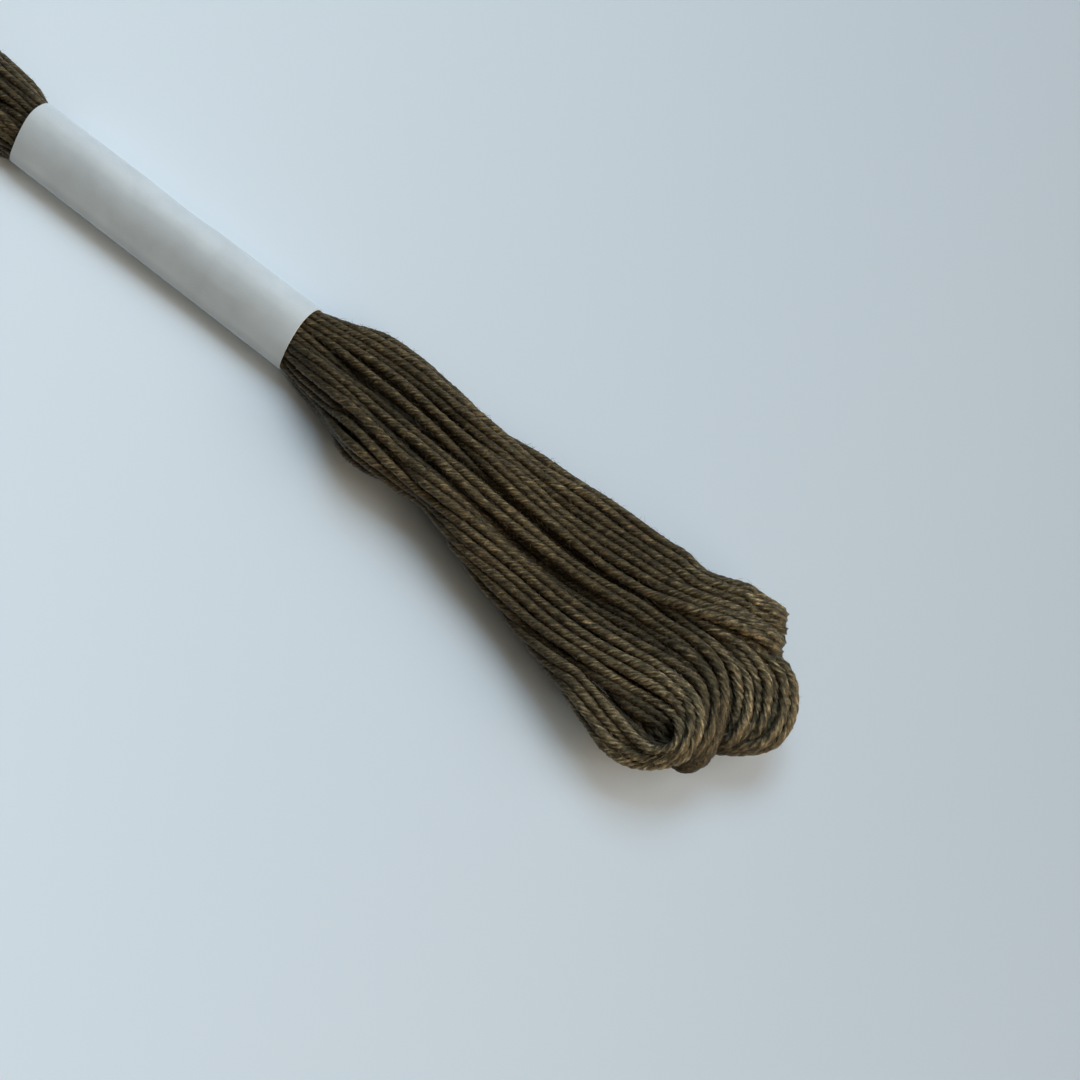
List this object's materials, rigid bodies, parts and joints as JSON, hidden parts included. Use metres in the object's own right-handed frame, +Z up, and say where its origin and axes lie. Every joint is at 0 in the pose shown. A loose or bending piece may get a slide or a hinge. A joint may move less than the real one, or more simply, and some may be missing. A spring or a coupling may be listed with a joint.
{
  "type": "hank of embroidery floss",
  "caption": "Long flat loop of cotton embroidery floss, drawn in at its middle by a plain paper band, with its looped ends fanned out.",
  "frame": {"origin": "on the surface that the hank lies on, under the middle of its box", "axes": "+X along the hank towards its open looped end, +Z up from the surface it lies on"},
  "size_m": [0.156, 0.0214, 0.0059],
  "materials": {
    "floss": "six-strand twisted cotton, matt with a faint lustre",
    "band_paper": "uncoated paper"
  },
  "bodies": {
    "root": {"floss_hank": "floss", "paper_band": "band_paper"}
  },
  "joints": []
}
